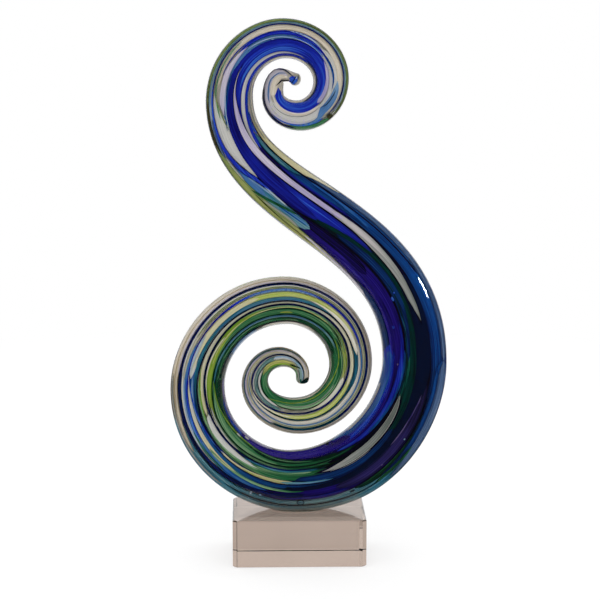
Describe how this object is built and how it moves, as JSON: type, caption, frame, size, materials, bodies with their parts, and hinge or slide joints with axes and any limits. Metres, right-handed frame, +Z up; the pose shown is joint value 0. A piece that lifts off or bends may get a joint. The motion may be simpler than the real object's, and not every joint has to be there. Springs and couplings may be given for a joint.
{
  "type": "glass koru ornament",
  "caption": "Double spiral of cased art glass with twisted blue and green ribbons, bonded upright on a clear crystal block, for a shelf or table.",
  "frame": {"origin": "centre of the plinth's underside", "axes": "+Z up, the spirals lie in the XZ plane, -Y faces the viewer, +X is the viewer's right"},
  "size_m": [0.152, 0.052, 0.2962],
  "materials": {
    "plinth_crystal": "polished clear crystal",
    "bond_adhesive": "cured clear adhesive",
    "casing_glass": "fire-polished clear glass",
    "core_glass": "clear glass",
    "cobalt_glass": "transparent cobalt blue glass",
    "lavender_glass": "milky lavender glass",
    "teal_glass": "transparent teal glass",
    "olive_glass": "transparent olive glass",
    "navy_glass": "dense navy glass",
    "green_glass": "transparent bottle green glass",
    "lime_glass": "transparent yellow-green glass",
    "cream_glass": "opaque cream glass",
    "sky_glass": "transparent sky blue glass",
    "indigo_glass": "dense indigo glass"
  },
  "bodies": {
    "root": {"crystal_plinth": "plinth_crystal", "adhesive_bond": "bond_adhesive", "clear_casing": "casing_glass", "core_rod": "core_glass", "cobalt_ribbon": "cobalt_glass", "lavender_ribbon": "lavender_glass", "teal_ribbon": "teal_glass", "olive_ribbon": "olive_glass", "navy_thread_front": "navy_glass", "navy_thread_back": "navy_glass", "bottle_green_ribbon": "green_glass", "lime_ribbon": "lime_glass", "cream_ribbon": "cream_glass", "sky_blue_ribbon": "sky_glass", "indigo_ribbon": "indigo_glass"}
  },
  "joints": []
}
